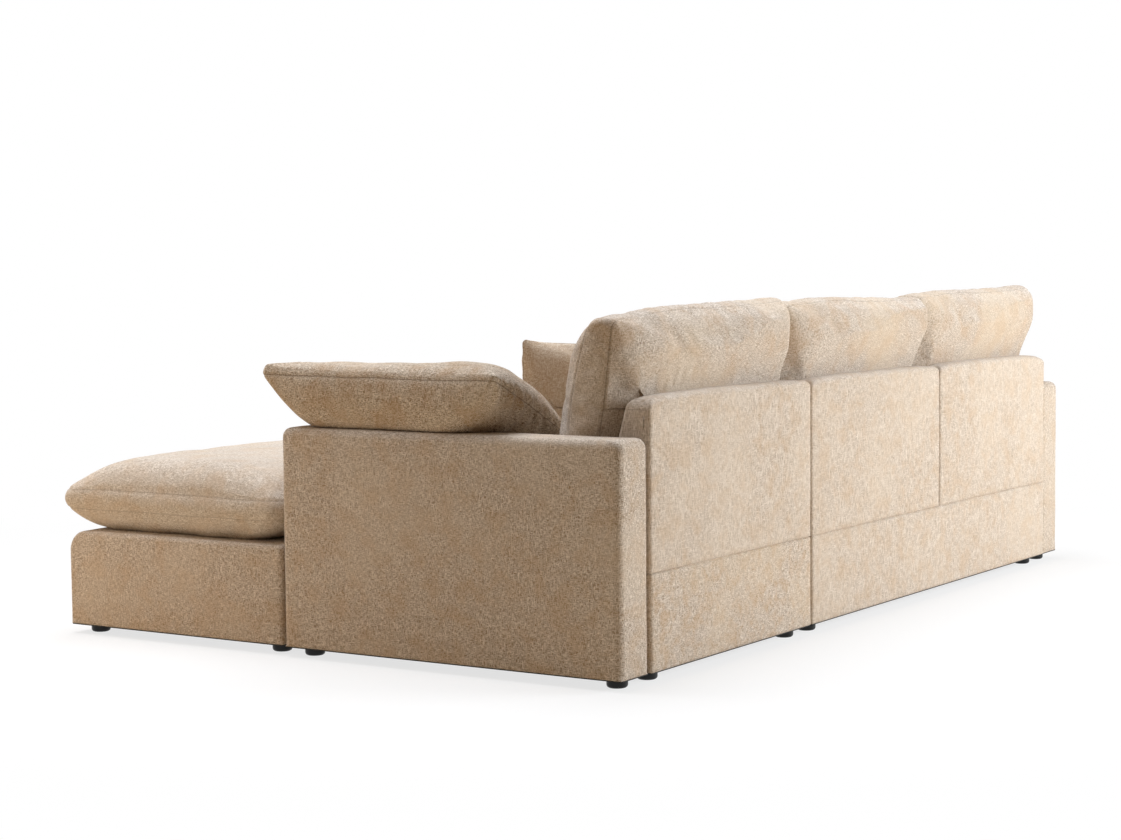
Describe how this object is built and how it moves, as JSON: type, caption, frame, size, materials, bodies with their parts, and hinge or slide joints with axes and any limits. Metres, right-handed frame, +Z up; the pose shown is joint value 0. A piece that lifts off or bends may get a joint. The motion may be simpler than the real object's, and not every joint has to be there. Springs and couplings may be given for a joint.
{
  "type": "corner sofa",
  "caption": "Modular corner sofa with slab arms, boxed seat and back cushions, pillows bent over the arms, a throw pillow and a loose ottoman with its own cushion, on low round feet.",
  "frame": {"origin": "centre of the bounding box on the floor", "axes": "+X along the backs towards the ottoman's end, the seats face -Y, +Z up"},
  "size_m": [2.71, 1.754, 0.8673],
  "materials": {
    "cover": "matte",
    "seat": "matte",
    "pillow": "matte",
    "timber": "matte",
    "webbing": "matte",
    "dust_cloth": "matte",
    "foam": "matte",
    "foot": "satin",
    "steel": "satin"
  },
  "bodies": {
    "sofa": {"corner_base_cover": "cover", "corner_base_frame": "timber", "corner_webbing": "webbing", "corner_dust_cover": "dust_cloth", "corner_back_cover": "cover", "corner_back_frame": "timber", "corner_feet": "foot", "double_base_cover": "cover", "double_base_frame": "timber", "double_webbing": "webbing", "double_dust_cover": "dust_cloth", "middle_back_cover": "cover", "middle_back_frame": "timber", "end_back_cover": "cover", "end_back_frame": "timber", "double_feet": "foot", "right_arm_cover": "cover", "right_arm_frame": "timber", "right_arm_dust_cover": "dust_cloth", "right_arm_feet": "foot", "left_arm_cover": "cover", "left_arm_frame": "timber", "left_arm_dust_cover": "dust_cloth", "left_arm_feet": "foot", "back_brackets": "steel", "arm_bolts": "steel", "module_bolts": "steel"},
    "ottoman": {"ottoman_base_cover": "cover", "ottoman_base_frame": "timber", "ottoman_webbing": "webbing", "ottoman_dust_cover": "dust_cloth", "ottoman_feet": "foot"},
    "ottoman_cushion": {"ottoman_cushion": "seat", "ottoman_foam": "foam"},
    "corner_seat": {"corner_seat_cushion": "seat", "corner_seat_foam": "foam"},
    "corner_back": {"corner_back_cushion": "pillow"},
    "middle_seat": {"middle_seat_cushion": "seat", "middle_seat_foam": "foam"},
    "middle_back": {"middle_back_cushion": "pillow"},
    "end_seat": {"end_seat_cushion": "seat", "end_seat_foam": "foam"},
    "end_back": {"end_back_cushion": "pillow"},
    "right_arm_pillow": {"right_arm_pillow": "pillow"},
    "left_arm_pillow": {"left_arm_pillow": "pillow"},
    "throw_pillow": {"throw_pillow": "pillow"}
  },
  "joints": [
    {"name": "ottoman_push", "type": "slide", "parent": "sofa", "child": "ottoman", "axis": [0, -1, 0], "range_m": [0, 0.5]},
    {"name": "ottoman_cushion_lift", "type": "slide", "parent": "ottoman", "child": "ottoman_cushion", "axis": [0, 0, 1], "range_m": [0, 0.1]},
    {"name": "corner_seat_lift", "type": "slide", "parent": "sofa", "child": "corner_seat", "axis": [0, 0, 1], "range_m": [0, 0.3]},
    {"name": "corner_back_lift", "type": "slide", "parent": "corner_seat", "child": "corner_back", "axis": [0, 0, 1], "range_m": [0, 0.4]},
    {"name": "middle_seat_lift", "type": "slide", "parent": "sofa", "child": "middle_seat", "axis": [0, 0, 1], "range_m": [0, 0.3]},
    {"name": "middle_back_lift", "type": "slide", "parent": "middle_seat", "child": "middle_back", "axis": [0, 0, 1], "range_m": [0, 0.4]},
    {"name": "end_seat_lift", "type": "slide", "parent": "sofa", "child": "end_seat", "axis": [0, 0, 1], "range_m": [0, 0.3]},
    {"name": "end_back_lift", "type": "slide", "parent": "end_seat", "child": "end_back", "axis": [0, 0, 1], "range_m": [0, 0.4]},
    {"name": "right_arm_pillow_lift", "type": "slide", "parent": "corner_seat", "child": "right_arm_pillow", "axis": [0, 0, 1], "range_m": [0, 0.3]},
    {"name": "left_arm_pillow_lift", "type": "slide", "parent": "end_seat", "child": "left_arm_pillow", "axis": [0, 0, 1], "range_m": [0, 0.3]},
    {"name": "throw_pillow_lift", "type": "slide", "parent": "corner_seat", "child": "throw_pillow", "axis": [0, 0, 1], "range_m": [0, 0.3]}
  ]
}
